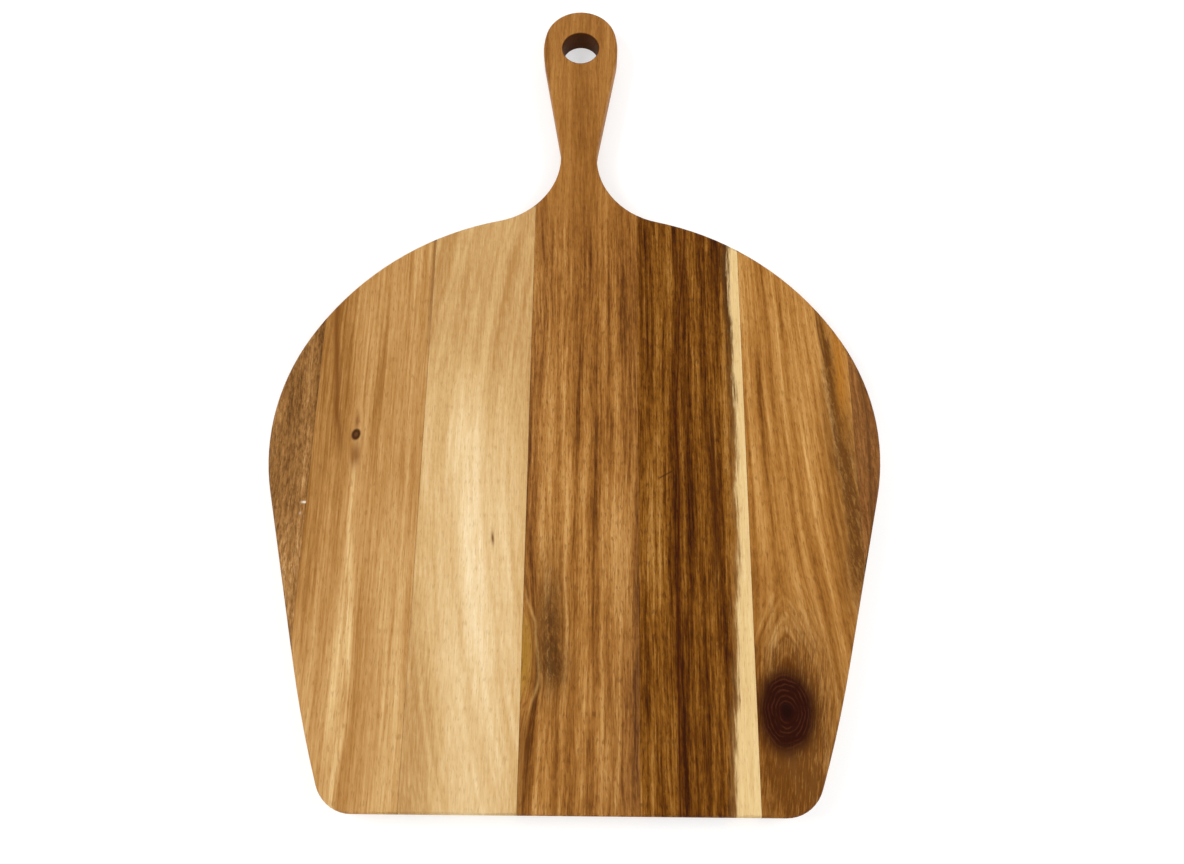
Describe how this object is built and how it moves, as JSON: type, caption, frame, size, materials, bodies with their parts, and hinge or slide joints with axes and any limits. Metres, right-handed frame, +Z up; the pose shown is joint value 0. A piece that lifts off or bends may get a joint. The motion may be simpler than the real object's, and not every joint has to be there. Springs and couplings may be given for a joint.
{
  "type": "pizza peel",
  "caption": "Flat wooden pizza peel: a broad rounded blade edge-glued from staves of mixed brown wood, with a short handle and a hanging hole.",
  "frame": {"origin": "centre of the bounding box of the underside: the board's centre line, halfway between the front edge and the handle's tip", "axes": "+Z up out of the top face, +Y along the board from the front edge to the handle, +X to the right"},
  "size_m": [0.356, 0.51, 0.015],
  "materials": {
    "walnut_brown_wood": "satin oiled",
    "grey_brown_wood": "satin oiled",
    "honey_wood": "satin oiled",
    "blond_wood": "satin oiled",
    "golden_brown_wood": "satin oiled",
    "orange_brown_wood": "satin oiled",
    "glue": "matte"
  },
  "bodies": {
    "root": {"left_edge_stave": "grey_brown_wood", "honey_stave": "honey_wood", "blond_stave": "blond_wood", "handle_stave": "golden_brown_wood", "walnut_stave": "walnut_brown_wood", "knotty_stave": "orange_brown_wood", "right_edge_stave": "grey_brown_wood", "glue_line_1": "glue", "glue_line_2": "glue", "glue_line_3": "glue", "glue_line_4": "glue", "glue_line_5": "glue", "glue_line_6": "glue"}
  },
  "joints": []
}
